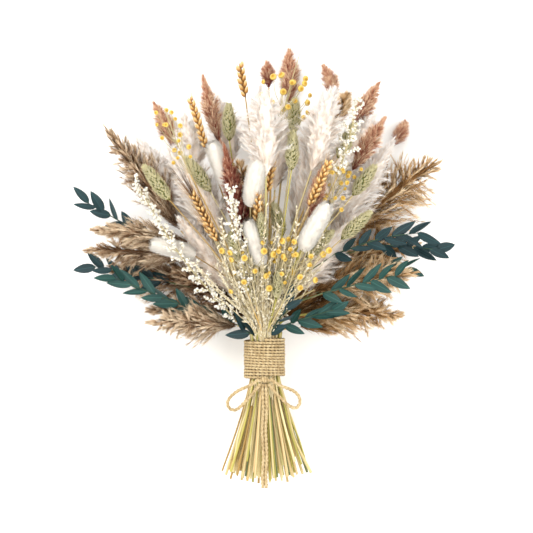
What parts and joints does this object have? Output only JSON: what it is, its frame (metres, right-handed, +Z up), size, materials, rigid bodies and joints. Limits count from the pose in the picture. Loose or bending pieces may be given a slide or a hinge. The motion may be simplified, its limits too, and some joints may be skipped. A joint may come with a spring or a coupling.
{
  "type": "bunch of dried flowers",
  "caption": "Tied bunch of dried grasses and flowers lying flat, with a fan of plumes, bunny tails, wheat, button flowers and teal leaves above a jute twine binding with a bow.",
  "frame": {"origin": "on the table, under the middle of the bunch as it lies", "axes": "+Y along the bunch from the cut ends to the heads, +Z up from the table, +X to the right seen from above"},
  "size_m": [0.3758, 0.4436, 0.1753],
  "materials": {
    "brown_plume": "feathery brown reed plume, matte",
    "rust_plume": "dyed soft plume, rose tip to burgundy base",
    "tan_plume": "feathery tan reed plume, matte",
    "teal_leaf": "preserved leaves, dark teal, slightly waxy",
    "white_plume": "bleached soft plume, matte with a faint pink cast",
    "wheat_ear": "dry husks, golden",
    "canary_grass": "dry papery scales, pale green",
    "bunny_tail": "cream silky fluff",
    "button_flower": "dry button flowers, matte yellow",
    "statice": "dry papery florets",
    "jute_twine": "twisted jute, matte and hairy",
    "stem": "dry cut straw, olive to pale gold"
  },
  "bodies": {
    "root": {"brown_plume_1": "brown_plume", "rust_plume_1": "rust_plume", "rust_plume_2": "rust_plume", "rust_plume_3": "rust_plume", "tan_plume_1": "tan_plume", "brown_plume_2": "brown_plume", "leaf_sprig_1": "teal_leaf", "white_plume_1": "white_plume", "white_plume_2": "white_plume", "rust_plume_4": "rust_plume", "rust_plume_5": "rust_plume", "tan_plume_2": "tan_plume", "tan_plume_3": "tan_plume", "leaf_sprig_2": "teal_leaf", "brown_plume_3": "brown_plume", "white_plume_3": "white_plume", "rust_plume_6": "rust_plume", "white_plume_4": "white_plume", "white_plume_5": "white_plume", "white_plume_6": "white_plume", "leaf_sprig_3": "teal_leaf", "brown_plume_4": "brown_plume", "white_plume_7": "white_plume", "rust_plume_7": "rust_plume", "wheat_ear_1": "wheat_ear", "rust_plume_8": "rust_plume", "canary_grass_2": "canary_grass", "rust_plume_9": "rust_plume", "tan_plume_4": "tan_plume", "bunny_tail_1": "bunny_tail", "wheat_ear_2": "wheat_ear", "wheat_ear_3": "wheat_ear", "canary_grass_3": "canary_grass", "button_spray_1": "button_flower", "canary_grass_4": "canary_grass", "button_spray_2": "button_flower", "canary_grass_5": "canary_grass", "leaf_sprig_4": "teal_leaf", "statice_spray_1": "statice", "canary_grass_6": "canary_grass", "bunny_tail_2": "bunny_tail", "wheat_ear_4": "wheat_ear", "canary_grass_9": "canary_grass", "statice_spray_2": "statice", "canary_grass_8": "canary_grass", "canary_grass_1": "canary_grass", "button_spray_3": "button_flower", "bunny_tail_3": "bunny_tail", "canary_grass_7": "canary_grass", "wheat_ear_5": "wheat_ear", "canary_grass_10": "canary_grass", "bunny_tail_4": "bunny_tail", "button_spray_4": "button_flower", "bunny_tail_5": "bunny_tail", "twine_binding": "jute_twine", "bow_knot": "jute_twine", "bow_loop_left": "jute_twine", "bow_loop_right": "jute_twine", "bow_tail_left": "jute_twine", "bow_tail_right": "jute_twine"}
  },
  "joints": []
}
